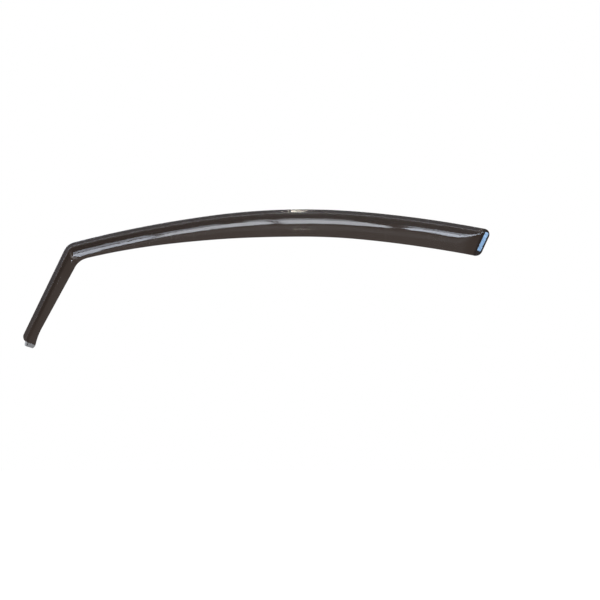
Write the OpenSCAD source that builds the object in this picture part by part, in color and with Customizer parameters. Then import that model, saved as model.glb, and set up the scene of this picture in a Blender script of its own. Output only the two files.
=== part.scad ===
// Window rain deflector for a front side window, left hand of the car.
// The outer edge slides into the window channel. The visor face stands off from it and
// sheds rain. +X runs back along the window, +Z is up and the outer face looks along -Y.
// The origin is on the front plane of the insertion edge, at the top of the arch.

/* [Arch] */
// Radius of the outer edge at the top of the arch
crown_radius = 1332; // [700:1:3000]
// Radius of the outer edge towards the leg
front_radius = 2350; // [1200:1:6000]
// Radius of the outer edge towards the rear end
rear_radius = 2330; // [1200:1:6000]
// Length of the middle arc in front of the top of the arch
crown_front_length = 179; // [60:1:260]
// Length of the middle arc behind the top of the arch
crown_rear_length = 114; // [40:1:200]
// Length of the arc between the middle one and the leg's corner
front_length = 270; // [150:1:400]
// Length of the arc between the middle one and the rear end
rear_length = 238.7; // [120:0.1:400]
// Height of the moulding beside the leg's corner
front_height = 36; // [30:0.5:48]
// Height of the moulding from the top of the arch backwards
crown_height = 53; // [44:0.5:80]
// Height of the moulding at the rear end
rear_height = 55; // [44:0.5:80]

/* [Leg] */
// Angle between the leg's outer edge and the vertical
leg_angle = 25.9; // [15:0.1:40]
// Length of the straight outer edge of the leg
leg_length = 180; // [110:1:260]
// Width of the leg at its top
leg_top_width = 33.5; // [28:0.5:45]
// Width that the leg's taper comes down to at the foot
leg_foot_width = 25; // [20:0.5:32]
// Radius of the outer corner between leg and arch
outer_corner_radius = 29; // [15:1:50]
// How far the inner corner's curve reaches past the outer corner's ends
inner_corner_reach = 20; // [12:1:30]

/* [Foot] */
// Radius of the foot's outer corner
foot_corner_radius = 12; // [6:0.5:15]
// Angle that the foot's outer corner turns through
foot_corner_turn = 70; // [40:1:80]
// How far the inner end of the foot stops short of the outer end
foot_skew = 2; // [0:0.1:8]
// How far the inner edge flares out at the foot
foot_flare = 5.5; // [0:0.5:10]
// Length of the flare along the leg
foot_flare_length = 36; // [20:1:60]
// Length of the thin tongue beyond the foot
tongue_length = 8; // [4:0.5:20]
// Thickness of the tongue
tongue_thickness = 1.2; // [0.8:0.1:2]
// How far the tongue's rounded corners come in from each side
tongue_corner = 3.5; // [2:0.5:5]
// How far the tongue is set in from the foot's outer corner
tongue_set_in = 1.2; // [0:0.1:2]
// Height of the step at the foot, as a share of that on the arch
foot_step = 0.28; // [0.1:0.02:0.5]

/* [Rear end] */
// Angle between the rear end and the vertical
rear_slant = 25; // [5:1:35]
// Radius of the rear end's upper corner
rear_top_radius = 11; // [6:0.5:16]
// Radius of the rear end's lower corner
rear_bottom_radius = 13.5; // [6:0.5:20]
// Length along the arch over which the step fades into the flat pad
closing_length = 44; // [15:1:60]

/* [Section] */
// Wall thickness of the moulding
wall = 3; // [2:0.1:4]
// Depth of the thinned insertion edge
edge_depth = 7.5; // [5:0.5:11]
// How much the insertion edge is thinned on its outer side
edge_recess = 0.9; // [0.3:0.1:1.4]
// Radius of the hollow fillet where the step leaves the edge
fillet_radius = 0.4; // [0.2:0.1:4]
// Steepest angle of the step
step_angle = 44; // [30:1:60]
// Length of the straight slope between fillet and crown
slope_length = 9.6; // [4:0.1:11]
// Radius of the rounded crown
crown_section_radius = 14; // [8:0.5:20]
// Outward lean of the visor face just under the crown
face_lean = 10; // [2:1:15]
// Inward lean of the visor face at its free edge
face_return = 7; // [0:1:12]
// Size of the step on the leg, as a share of that on the arch
leg_step = 0.5; // [0.3:0.05:0.65]
// Size of the step at the top of the leg, as a share of that on the arch
leg_top_step = 0.72; // [0.5:0.02:0.9]
// Size of the step beside the corner, as a share of that on the arch
corner_step = 1.22; // [0.9:0.02:1.3]
// How far the crown's tight corner reaches along the leg and the arch
crown_corner_reach = 3; // [2:0.5:8]

/* [Window curve] */
// Radius of the side window along the car
window_length_radius = 9000; // [5000:100:40000]
// Radius of the side window from top to bottom
window_height_radius = 4000; // [2500:100:20000]

/* [Adhesive strip] */
// Width of the foam tape
tape_width = 7; // [4:0.5:9]
// Length of the foam tape
tape_length = 39; // [20:1:42]
// Thickness of the foam tape
tape_thickness = 1.1; // [0.6:0.1:2]
// Thickness of the liner over the tape
liner_thickness = 0.2; // [0.1:0.05:0.4]
// Distance of the tape from the edge of the rear end
tape_inset = 3.1; // [1:0.1:4]
// Distance of the tape's middle above the middle of the rear end, along that end
tape_raise = 2.6; // [0:0.1:5]
// Corner radius of the tape
tape_corner = 1.4; // [0.5:0.1:2]

/* [Hidden] */
smoke = [0.24, 0.21, 0.20];
foam = [0.16, 0.16, 0.17];
liner_blue = [0.53, 0.67, 0.84];

degrees_per_radian = 180 / PI;
// Short distance that sets the tongue off from the foot and gives the inner edges' directions
hair = 0.25;
// Width over which the insertion edge's recess runs out
recess_run = 1;
// Width that the flattened step still takes on the pad, as a share of that on the arch
pad_size = 0.06;
// Length of arch behind the corner over which the crown's slant settles
slant_run = 150;
// Length of arch behind the corner over which the step comes down to its size on the arch
size_run = 300;
// How late on the leg the step grows to its size at the top
leg_growth = 4;

// Number of steps along each stretch of the outline
tongue_steps = 8;
foot_steps = 7;
leg_steps = 20;
corner_steps = 20;
front_steps = 14;
crown_front_steps = 8;
crown_rear_steps = 6;
rear_steps = 9;
closing_steps = 12;
rear_corner_steps = 12;
// Number of steps round each curve of the section
fillet_steps = 2;
crown_section_steps = 7;
face_steps = 6;

function mix(a, b, t) = a + (b - a) * t;
// 0 to 1 with a level start and end
function ease(t) = (1 - cos(180 * min(1, max(0, t)))) / 2;
function steps(n, last = true) = [for (i = [0 : n - (last ? 0 : 1)]) i / n];
// Curve that leaves a towards b and reaches c from b
function curve(a, b, c, t) = mix(mix(a, b, t), mix(b, c, t), t);
function cross2(a, b) = a[0] * b[1] - a[1] * b[0];
// Point where the line through a meets the line through b
function meet(a, a_way, b, b_way) = a + a_way * cross2(b - a, b_way) / cross2(a_way, b_way);

// Step of the outer face: distance in from its foot, stand-off and surface angle. It is
// drawn at full size here and scaled at each rib.
fillet_end = fillet_radius * [sin(step_angle), 1 - cos(step_angle)];
slope_end = fillet_end + slope_length * [cos(step_angle), sin(step_angle)];
step_points = concat(
    [for (t = steps(fillet_steps))
        let (a = step_angle * t)
        [fillet_radius * sin(a), fillet_radius * (1 - cos(a)), a]],
    [for (t = steps(crown_section_steps))
        let (a = mix(step_angle, face_lean, t))
        [slope_end[0] + crown_section_radius * (sin(step_angle) - sin(a)),
         slope_end[1] + crown_section_radius * (cos(a) - cos(step_angle)), a]]
);
step_end = step_points[len(step_points) - 1];

// Distance from the outer edge to the step's foot, and to the knee where the crown ends
step_start = edge_depth + recess_run / 2;
function knee_depth(size) = step_start + size * step_end[0];

// Outer edge of the arch. A distance is measured from the top of the arch, backwards.
crown_front_angle = crown_front_length / crown_radius * degrees_per_radian;
crown_rear_angle = crown_rear_length / crown_radius * degrees_per_radian;
arch_front = -(crown_front_length + front_length);
arch_rear = crown_rear_length + rear_length;

// Point reached from p with heading h after a distance s along a falling arc of radius r
function along(p, h, r, s) =
    let (h2 = h - s / r * degrees_per_radian)
    [p[0] + r * (sin(h) - sin(h2)), p[1] + r * (cos(h2) - cos(h))];

crown_front_end = along([0, 0], 0, crown_radius, -crown_front_length);
crown_rear_end = along([0, 0], 0, crown_radius, crown_rear_length);

function heading(s) =
    s < -crown_front_length
        ? crown_front_angle - (s + crown_front_length) / front_radius * degrees_per_radian
        : s > crown_rear_length
            ? -crown_rear_angle - (s - crown_rear_length) / rear_radius * degrees_per_radian
            : -s / crown_radius * degrees_per_radian;

function outer(s) =
    s < -crown_front_length
        ? along(crown_front_end, crown_front_angle, front_radius, s + crown_front_length)
        : s > crown_rear_length
            ? along(crown_rear_end, -crown_rear_angle, rear_radius, s - crown_rear_length)
            : along([0, 0], 0, crown_radius, s);

// Unit vector along a heading, and the one that points from the outer edge to the inner edge
function forward(h) = [cos(h), sin(h)];
function inward(h) = [sin(h), -cos(h)];

function height(s) =
    s < 0
        ? mix(front_height, crown_height, ease(1 - s / arch_front))
        : mix(crown_height, rear_height, ease(s / arch_rear));

function inner(s) = outer(s) + height(s) * inward(heading(s));
// End of the crown, for a step of the given size
function knee(s, size) = outer(s) + knee_depth(size) * inward(heading(s));

// Outer corner between arch and leg
corner_from = heading(arch_front);
corner_to = 90 - leg_angle;
corner_start = outer(arch_front);
function corner(h) = corner_start - outer_corner_radius
    * [sin(h) - sin(corner_from), cos(corner_from) - cos(h)];
leg_start = corner(corner_to);

// Point of the leg, s down its outer edge and v in from it
function leg(s, v) = leg_start - s * forward(corner_to) + v * inward(corner_to);
foot_turn_length = foot_corner_radius * sin(foot_corner_turn);
foot_end = leg_length + foot_turn_length;
function leg_width(s) =
    mix(leg_top_width, leg_foot_width, (s - inner_corner_reach) / (foot_end - inner_corner_reach))
    + foot_flare * pow(max(0, s + foot_flare_length - foot_end) / foot_flare_length, 2);
function leg_inner(s) = leg(s, leg_width(s));

// Inner corner: a curve that leaves the leg and meets the arch along their own directions
corner_low = leg_inner(inner_corner_reach);
corner_high = inner(arch_front + inner_corner_reach);
corner_low_way = corner_low - leg_inner(inner_corner_reach + hair);
corner_high_way = inner(arch_front + inner_corner_reach + hair) - corner_high;
corner_point = meet(corner_low, corner_low_way, corner_high, corner_high_way);

// The crown turns its corner much more tightly than the two edges do
leg_knee = leg(0, knee_depth(leg_top_step));
arch_knee = knee(arch_front, corner_step);
knee_point = meet(leg_knee, forward(corner_to), arch_knee, forward(corner_from));
knee_low = knee_point - crown_corner_reach * forward(corner_to);
knee_high = knee_point + crown_corner_reach * forward(corner_from);
knee_leg_s = (leg_knee - knee_low) * forward(corner_to);
knee_arch_s = (knee_high - arch_knee) * forward(corner_from);

// Rear end: two rounded corners joined by the slanted edge
rear_heading = heading(arch_rear);
top_turn = 90 + rear_slant + rear_heading;
bottom_turn = 180 - top_turn;
rear_top_start = outer(arch_rear);
function rear_top(t) =
    let (h = rear_heading - top_turn * t)
    rear_top_start + rear_top_radius
        * [sin(rear_heading) - sin(h), cos(h) - cos(rear_heading)];
rear_inner = arch_rear + rear_top_radius * tan(top_turn / 2) + rear_height / tan(top_turn)
    - rear_bottom_radius * tan(bottom_turn / 2);
rear_bottom_start = inner(rear_inner);
function rear_bottom(t) =
    let (h = rear_heading + bottom_turn * t)
    rear_bottom_start + rear_bottom_radius
        * [sin(h) - sin(rear_heading), cos(rear_heading) - cos(h)];

// The pad's plane touches the window's curve at the middle of the tape
end_high = rear_top(1);
end_low = rear_bottom(1);
end_way = (end_high - end_low) / norm(end_high - end_low);
end_inward = [-end_way[1], end_way[0]];
tape_centre = (end_high + end_low) / 2 + (tape_inset + tape_width / 2) * end_inward
    + tape_raise * end_way;

function window(p) = p[0] * p[0] / (2 * window_length_radius) + p[1] * p[1] / (2 * window_height_radius);
pad_rise = [tape_centre[0] / window_length_radius, tape_centre[1] / window_height_radius];
function pad(p) = window(tape_centre) + pad_rise * (p - tape_centre);

// One rib of the moulding: outer point, knee and inner point, size of the step, height of the
// step, width of the face, skin taken off front and back for the tongue, share of the pad's
// flat plane, how far the outer point has come in from the straight outer edge, and how fast
// the step's height falls along the moulding
function rib(p, k, q, size, lift, face, thin = 0, flat = 0, come_in = 0, fall = 0) =
    [p, k, q, size, lift, face, thin, flat, come_in, fall];

// Rib that runs straight across, its knee at the given depth
function straight_rib(p, q, width, depth, size, lift, thin = 0, flat = 0, come_in = 0) =
    rib(p, mix(p, q, (depth - come_in) / (width - come_in)), q, size, lift, width - depth,
        thin, flat, come_in);

skin = (wall - tongue_thickness) / 2;
foot_inner_end = foot_end - foot_skew;
foot_come_in = foot_corner_radius * (1 - cos(foot_corner_turn));
foot_knee = knee_depth(leg_step);
tongue_ribs = [
    for (t = steps(tongue_steps))
        let (corner_in = tongue_corner * (1 - sin(90 * t)),
             out = tongue_length * cos(90 * t) + hair,
             width = leg_width(foot_inner_end) - corner_in,
             come_in = foot_come_in + tongue_set_in + corner_in)
        straight_rib(leg(foot_end + out, come_in), leg(foot_inner_end + out, width),
            width, foot_knee, leg_step, foot_step, skin, 0, come_in)
];
foot_ribs = [
    for (t = steps(foot_steps, false))
        let (turn = foot_corner_turn * (1 - t),
             s = leg_length + foot_corner_radius * sin(turn),
             come_in = foot_corner_radius * (1 - cos(turn)))
        straight_rib(leg(s, come_in), leg_inner(s - foot_skew),
            leg_width(s - foot_skew), foot_knee, leg_step, foot_step, 0, 0, come_in)
];
leg_inner_end = leg_length - foot_skew;
leg_knee_end = leg_length - foot_skew * foot_knee / leg_width(leg_inner_end);
leg_ribs = [
    for (t = steps(leg_steps, false))
        let (size = mix(leg_step, leg_top_step, ease(leg_growth * (t - 1) + 1)),
             depth = knee_depth(size),
             inner_s = mix(leg_inner_end, inner_corner_reach, t))
        rib(leg(leg_length * (1 - t), 0), leg(mix(leg_knee_end, knee_leg_s, t), depth),
            leg_inner(inner_s), size, mix(foot_step, size, ease(3 * t)),
            leg_width(inner_s) - depth)
];
leg_face = leg_width(inner_corner_reach) - knee_depth(leg_top_step);
arch_face = height(arch_front + inner_corner_reach) - knee_depth(corner_step);
corner_ribs = [
    for (t = steps(corner_steps, false))
        let (size = mix(leg_top_step, corner_step, ease(t)))
        rib(corner(mix(corner_to, corner_from, t)), curve(knee_low, knee_point, knee_high, t),
            curve(corner_low, corner_point, corner_high, t), size, size,
            mix(leg_face, arch_face, t))
];
// Along the arch the ribs go from the corner's slant to that of the rear end
function arch_rib(s) =
    let (t = (s - arch_front) / (arch_rear - arch_front),
         closed = max(0, s - arch_rear + closing_length) / closing_length,
         closing = pow(closed, 2),
         size = mix(corner_step, 1, ease((s - arch_front) / size_run)),
         across = size * mix(1, pad_size, closing),
         inner_s = mix(arch_front + inner_corner_reach, rear_inner, t),
         depth = knee_depth(across),
         slant = (inner_s - s) * depth / height(inner_s),
         knee_s = s + mix(knee_arch_s, slant, ease((s - arch_front) / slant_run)))
    rib(outer(s), knee(knee_s, across), inner(inner_s), across, size * (1 - closing),
        height(inner_s) - depth, 0, closing, 0, size * 2 * closed / closing_length);
arch_distances = concat(
    [for (t = steps(front_steps, false)) mix(arch_front, -crown_front_length, t)],
    [for (t = steps(crown_front_steps, false)) mix(-crown_front_length, 0, t)],
    [for (t = steps(crown_rear_steps, false)) mix(0, crown_rear_length, t)],
    [for (t = steps(rear_steps, false)) mix(crown_rear_length, arch_rear - closing_length, t)],
    [for (t = steps(closing_steps, false)) mix(arch_rear - closing_length, arch_rear, t)]
);
arch_ribs = [for (s = arch_distances) arch_rib(s)];
rear_ribs = [
    for (t = steps(rear_corner_steps))
        let (p = rear_top(t), q = rear_bottom(t))
        straight_rib(p, q, norm(q - p), knee_depth(pad_size), pad_size, 0, 0, 1)
];
ribs = concat(tongue_ribs, foot_ribs, leg_ribs, corner_ribs, arch_ribs, rear_ribs);

// Face of a given width, from its lean under the crown to its return at the free edge
function face_points(width, lift) =
    let (r = width / (sin(face_lean) + sin(face_return)))
    [for (t = steps(face_steps))
        if (t > 0)
        let (a = mix(face_lean, -face_return, t))
        [r * (sin(face_lean) - sin(a)), r * (cos(a) - cos(face_lean)) * lift, a * lift]];

// Height of each point of the section at full size
rise = concat([0, 0, 0], [for (p = step_points) p[1]], [for (i = [1 : face_steps]) step_end[1]]);

// Outer face of a rib: distance in from the outer point, stand-off and surface angle
function outer_face(r) =
    let (full_size = r[3], lift = r[4],
         squeeze = 1 - r[8] / knee_depth(full_size),
         size = full_size * squeeze,
         recess = edge_recess * min(1, 2 * lift),
         start = step_start * squeeze,
         run = recess_run * squeeze,
         step_width = size * step_end[0])
    concat(
        [[0, -recess, 0], [start - run, -recess, 0], [start - run / 2, -recess / 2, 0]],
        [for (p = step_points) [start + size * p[0], lift * p[1], atan(tan(p[2]) * lift / size)]],
        [for (p = face_points(r[5], min(1, lift)))
            [start + step_width + p[0], lift * step_end[1] + p[1], p[2]]]
    );

// Point of a rib in space, u in from the outer edge and w out from the window's curve
function place(r, u, w) =
    let (knee_u = knee_depth(r[3]) - r[8],
         p = u <= knee_u
             ? r[0] + (r[1] - r[0]) * u / knee_u
             : r[1] + (r[2] - r[1]) * (u - knee_u) / r[5],
         base = mix(window(p), pad(p), r[7]))
    [p[0], base - w, p[1]];

// Closed loop of a rib: outer face from edge to edge, then the inner face back
function loop(r) =
    let (face = outer_face(r),
         front = r[6],
         // Where the step falls along the moulding, the wall is cut at a slant
         slant = [for (i = [0 : len(face) - 1]) norm([1, r[9] * rise[i]])])
    concat(
        [for (i = [0 : len(face) - 1])
            let (q = face[i])
            place(r, q[0] + front * sin(q[2]), q[1] - front * cos(q[2]))],
        [for (i = [len(face) - 1 : -1 : 0])
            let (q = face[i],
                 back = (wall - front) * slant[i],
                 recessed = i < 3 ? -q[1] : 0)
            place(r, q[0] + back * sin(q[2]), q[1] - back * cos(q[2]) + recessed)]
    );

loops = [for (r = ribs) loop(r)];
loop_size = len(loops[0]);
last_loop = len(loops) - 1;
half = loop_size / 2;

module deflector_shell() {
    // Skin between neighbouring loops, closed by a strip of faces across each end
    color(smoke)
        polyhedron(
            points = [for (l = loops) each l],
            faces = concat(
                [for (i = [0 : last_loop - 1], j = [0 : loop_size - 1])
                    let (k = (j + 1) % loop_size, a = i * loop_size, b = a + loop_size)
                    each [[a + j, b + j, b + k], [a + j, b + k, a + k]]],
                [for (end = [0, last_loop], j = [0 : half - 2])
                    let (a = end * loop_size,
                         quad = [a + j, a + j + 1, a + loop_size - 2 - j, a + loop_size - 1 - j])
                    each end == 0
                        ? [[quad[0], quad[1], quad[2]], [quad[0], quad[2], quad[3]]]
                        : [[quad[0], quad[2], quad[1]], [quad[0], quad[3], quad[2]]]]
            ),
            convexity = 8
        );
}

// Flat strip on the pad, its lower face at the given stand-off
module strip(stand_off, thickness) {
    tilt = asin(-pad_rise[1] / norm([pad_rise[0], 1, pad_rise[1]]));
    translate([tape_centre[0], window(tape_centre), tape_centre[1]])
        rotate([tilt, 0, atan(pad_rise[0])])
            rotate([90, 0, 0])
                rotate([0, 0, -rear_slant])
                    translate([0, 0, stand_off])
                        linear_extrude(height = thickness)
                            strip_outline();
}

module strip_outline() {
    across = tape_width / 2 - tape_corner;
    along_strip = tape_length / 2 - tape_corner;
    union() {
        square([tape_width, 2 * along_strip], center = true);
        square([2 * across, tape_length], center = true);
        for (x = [-across, across], y = [-along_strip, along_strip])
            translate([x, y])
                circle(r = tape_corner, $fn = 32);
    }
}

module foam_tape() {
    color(foam) strip(0, tape_thickness);
}

module release_liner() {
    color(liner_blue) strip(tape_thickness, liner_thickness);
}

deflector_shell();
foam_tape();
release_liner();
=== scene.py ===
"""Looks of a smoked acrylic rain deflector for a front side window, laid out as an add-on.

Lengths are in metres in the CAD frame: +X runs back along the window, +Z is up and the outer
face looks along -Y. The origin is at the top of the arch, on the insertion edge's front.
"""

import math
from dataclasses import dataclass

import bmesh
import bpy
from bpy.props import FloatProperty, FloatVectorProperty, IntProperty, PointerProperty
from mathutils import Matrix, Vector


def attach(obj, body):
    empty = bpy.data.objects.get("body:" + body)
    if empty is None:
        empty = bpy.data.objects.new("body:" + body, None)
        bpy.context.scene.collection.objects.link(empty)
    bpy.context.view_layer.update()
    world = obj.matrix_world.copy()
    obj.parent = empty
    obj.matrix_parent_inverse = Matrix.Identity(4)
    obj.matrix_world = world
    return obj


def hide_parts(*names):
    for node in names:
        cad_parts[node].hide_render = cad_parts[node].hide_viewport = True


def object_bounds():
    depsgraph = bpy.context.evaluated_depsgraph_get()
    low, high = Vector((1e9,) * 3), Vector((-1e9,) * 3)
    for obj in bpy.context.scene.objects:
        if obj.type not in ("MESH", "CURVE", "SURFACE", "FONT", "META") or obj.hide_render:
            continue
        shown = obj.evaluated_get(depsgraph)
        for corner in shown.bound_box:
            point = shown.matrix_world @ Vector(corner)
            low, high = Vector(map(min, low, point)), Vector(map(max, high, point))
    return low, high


bl_info = {
    "name": "Window rain deflector",
    "version": (1, 0, 0),
    "blender": (4, 5, 0),
    "location": "3D View > Sidebar > Deflector",
    "description": "Builds a smoked acrylic window rain deflector with its adhesive strip",
    "category": "Add Mesh",
}

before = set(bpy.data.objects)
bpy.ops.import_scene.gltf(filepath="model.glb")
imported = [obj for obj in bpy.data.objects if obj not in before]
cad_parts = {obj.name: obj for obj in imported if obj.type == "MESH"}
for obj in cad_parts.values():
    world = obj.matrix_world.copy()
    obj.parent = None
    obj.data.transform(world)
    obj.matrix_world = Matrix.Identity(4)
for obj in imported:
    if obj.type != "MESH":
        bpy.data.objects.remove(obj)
CAD_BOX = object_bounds()


def length(name, description, default):
    """A length in metres, with the name and description that the sidebar shows."""
    return FloatProperty(
        name=name, description=description, default=default, unit="LENGTH", precision=4
    )


def angle(name, description, degrees):
    """An angle, given in degrees."""
    return FloatProperty(
        name=name, description=description, default=math.radians(degrees), unit="ROTATION"
    )


def share(name, description, default):
    """A plain share of something else."""
    return FloatProperty(name=name, description=description, default=default, subtype="FACTOR")


def number(name, description, default):
    """A plain number."""
    return FloatProperty(name=name, description=description, default=default)


def colour(name, description, default):
    """A colour without transparency."""
    return FloatVectorProperty(
        name=name, description=description, default=default, subtype="COLOR", size=3, min=0, max=1
    )


def group(kind, name):
    """A group of sizes, described by the first line about it."""
    return PointerProperty(type=kind, name=name, description=kind.__doc__.rstrip("."))


class ArchSizes(bpy.types.PropertyGroup):
    """Outline of the arch."""

    crown_radius: length("Crown radius", "Radius of the outer edge at the top of the arch", 1.332)
    front_radius: length("Front radius", "Radius of the outer edge towards the leg", 2.35)
    rear_radius: length("Rear radius", "Radius of the outer edge towards the rear end", 2.33)
    crown_front: length("Crown ahead", "Length of the middle arc ahead of the top", 0.179)
    crown_rear: length("Crown behind", "Length of the middle arc behind the top", 0.114)
    front_length: length("Front length", "Length of the arc between middle and leg", 0.27)
    rear_length: length("Rear length", "Length of the arc between middle and rear end", 0.2387)
    front_height: length("Front height", "Height of the moulding beside the corner", 0.036)
    crown_height: length("Crown height", "Height of the moulding at the top of the arch", 0.053)
    rear_height: length("Rear height", "Height of the moulding at the rear end", 0.055)
    slant: angle("Rear slant", "Angle between the rear end and the vertical", 25)
    top_radius: length("Upper rear corner", "Radius of the rear end's upper corner", 0.011)
    bottom_radius: length("Lower rear corner", "Radius of the rear end's lower corner", 0.0135)
    closing: length("Closing length", "Length over which the step fades into the pad", 0.044)
    pad_size: share("Step left on the pad", "Width of the flattened step on the pad", 0.06)


class LegSizes(bpy.types.PropertyGroup):
    """Outline of the leg and its foot."""

    slant: angle("Leg slant", "Angle between the leg's outer edge and the vertical", 25.9)
    length: length("Leg length", "Length of the leg's straight outer edge", 0.18)
    top_width: length("Top width", "Width of the leg at its top", 0.0335)
    foot_width: length("Foot width", "Width that the taper comes down to", 0.025)
    corner_radius: length("Outer corner", "Radius of the corner between leg and arch", 0.029)
    corner_reach: length("Inner reach", "How far the inner corner reaches along each side", 0.02)
    foot_radius: length("Foot corner", "Radius of the foot's outer corner", 0.012)
    foot_turn: angle("Foot turn", "Angle that the foot's outer corner turns through", 70)
    foot_skew: length("Foot skew", "How far the foot's inner end stops short", 0.002)
    flare: length("Flare", "How far the inner edge flares out at the foot", 0.0055)
    flare_length: length("Flare length", "Length of the flare along the leg", 0.036)
    tongue_length: length("Tongue length", "Length of the thin tongue", 0.008)
    tongue_thickness: length("Tongue thickness", "Thickness of the tongue", 0.0012)
    tongue_corner: length("Tongue corner", "How far its corners come in from each side", 0.0035)
    tongue_set_in: length("Tongue set-in", "How far the tongue is set in from the foot", 0.0012)
    tongue_gap: length("Tongue set-off", "Short length between foot and tongue", 0.00025)
    step: share("Leg step", "Size of the step on the leg", 0.5)
    foot_step: share("Foot step", "Height of the step at the foot", 0.28)
    corner_step: share("Corner step", "Size of the step beside the corner", 1.22)
    top_step: share("Leg top step", "Size of the step at the top of the leg", 0.72)
    growth: number("Step growth", "How late on the leg the step grows to its top size", 4)
    knee_reach: length("Crown corner", "Reach of the crown's tight corner along each side", 0.003)
    size_run: length("Size run", "Length of arch over which the step comes to its size", 0.3)
    knee_run: length("Crown run", "Length of arch over which the ribs come square", 0.15)


class SectionSizes(bpy.types.PropertyGroup):
    """Cross-section of the moulding."""

    wall: length("Wall", "Wall thickness of the moulding", 0.003)
    edge_depth: length("Edge depth", "Depth of the thinned insertion edge", 0.0075)
    edge_recess: length("Edge recess", "How much the insertion edge is thinned", 0.0009)
    recess_run: length("Recess run", "Width over which the recess runs out", 0.001)
    fillet: length("Fillet", "Radius of the hollow at the foot of the step", 0.0004)
    step_angle: angle("Step angle", "Steepest angle of the step", 44)
    slope: length("Slope", "Length of the straight slope of the step", 0.0096)
    crown: length("Crown", "Radius of the rounded crown", 0.014)
    lean: angle("Face lean", "Outward lean of the face under the crown", 10)
    turn_in: angle("Face return", "Inward lean of the face at its free edge", 7)
    rim: length("Rim rounding", "Rounding along every rim of the moulding", 0.00045)
    window_length: length("Window along", "Radius of the window along the car", 9.0)
    window_height: length("Window upright", "Radius of the window from top to bottom", 4.0)


class StripSizes(bpy.types.PropertyGroup):
    """Adhesive strip on the rear pad."""

    width: length("Width", "Width of the foam tape", 0.007)
    length: length("Length", "Length of the foam tape", 0.039)
    thickness: length("Tape", "Thickness of the foam tape", 0.0011)
    liner: length("Liner", "Thickness of the liner over the tape", 0.0002)
    inset: length("Inset", "Distance of the tape from the rear end's edge", 0.0031)
    raised: length("Raise", "Distance of the tape's middle above the rear end's middle", 0.0026)
    corner: length("Corner", "Corner radius of the tape", 0.0014)


class Finishes(bpy.types.PropertyGroup):
    """Colours and polish."""

    smoke: colour("Smoke", "Light that comes through one wall", (0.054, 0.0415, 0.0355))
    polish: share("Polish", "Roughness of the polished face", 0.07)
    foam: colour("Foam", "Colour of the foam tape", (0.035, 0.035, 0.038))
    liner: colour("Liner", "Colour of the liner film", (0.24, 0.385, 0.56))
    samples: IntProperty(name="Rib spacing", description="Ribs per 100 mm of outline", default=40)


class StageSizes(bpy.types.PropertyGroup):
    """Camera, lamps and floor."""

    frame_width: length("Frame width", "Width that the camera sees at the part", 1.158)
    lens: number("Lens", "Focal length of the camera in millimetres", 400)
    floor: length("Floor", "Height of the floor", -0.8)
    lamp: number("Lamp", "Brightness of the long soft lamps", 4.3)
    surround: number("Room", "Brightness of the room that gloss reflects", 0.16)
    ambient: number("Ambient", "Brightness of the all-round light", 0.3)


# Outline

# Number of ribs on the short stretches
TONGUE_RIBS = 14
FOOT_RIBS = 16
CORNER_RIBS = 48
CLOSING_RIBS = 24
REAR_RIBS = 22
# Fewest ribs on any other stretch
LEAST_RIBS = 6
# The step has risen from its height at the foot on the first third of the leg
FOOT_RISE = 3


def mix(a, b, t):
    """Value between a and b, where t is 0 at a and 1 at b."""
    return a + (b - a) * t


def ease(t):
    """0 to 1 with a level start and end."""
    return (1 - math.cos(math.pi * min(1, max(0, t)))) / 2


def steps(count, last=True):
    """Even steps from 0 to 1, with or without the last one."""
    return [i / count for i in range(count + (1 if last else 0))]


def rib_count(distance, density):
    """Number of ribs on a stretch, where density is their number per 100 mm."""
    return max(LEAST_RIBS, round(distance * density * 10))


def forward(h):
    """Direction along the outline, where h is its heading."""
    return Vector((math.cos(h), math.sin(h)))


def inward(h):
    """Direction from the outer edge into the moulding."""
    return Vector((math.sin(h), -math.cos(h)))


def arc(radius, start, end):
    """Way along an arc of the given radius, from a heading down to a lower one."""
    return radius * Vector((math.sin(start) - math.sin(end), math.cos(end) - math.cos(start)))


def step_start(section):
    """Distance of the step's foot from the outer edge."""
    return section.edge_depth + section.recess_run / 2


@dataclass
class Rib:
    """One cross-section: its outer point, knee and inner point and how it is shaped there.

    The knee is the end of the crown, from where the face runs on to the inner point.
    """

    outer: Vector
    knee: Vector
    inner: Vector
    # Size of the step across the rib and away from it, where 1 is full size
    size: float
    lift: float
    # Distance from the knee to the inner point
    face: float
    # How much thinner the wall is on each side
    thin: float = 0.0
    # 0 on the curve of the window, 1 on the flat pad
    flat: float = 0.0
    # How far the outer point is set in from the outer edge
    come_in: float = 0.0
    # How steeply the step falls along the moulding
    fall: float = 0.0

    @property
    def recess(self):
        """Share of the insertion edge's recess, which goes where the step gets low."""
        return min(1, 2 * self.lift)

    def plan(self, u, knee_u):
        """Plan point at a distance in from the outer edge, where the knee is at knee_u."""
        if u <= knee_u:
            return self.outer + (self.knee - self.outer) * (u / knee_u)
        return self.knee + (self.inner - self.knee) * ((u - knee_u) / self.face)


def meet(a, a_way, b, b_way):
    """Point where the line through a meets the line through b."""
    gap = b - a
    reach = (gap.x * b_way.y - gap.y * b_way.x) / (a_way.x * b_way.y - a_way.y * b_way.x)
    return a + a_way * reach


def curve(a, b, c, t):
    """Curve that leaves a towards b and reaches c from b."""
    return a.lerp(b, t).lerp(b.lerp(c, t), t)


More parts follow.
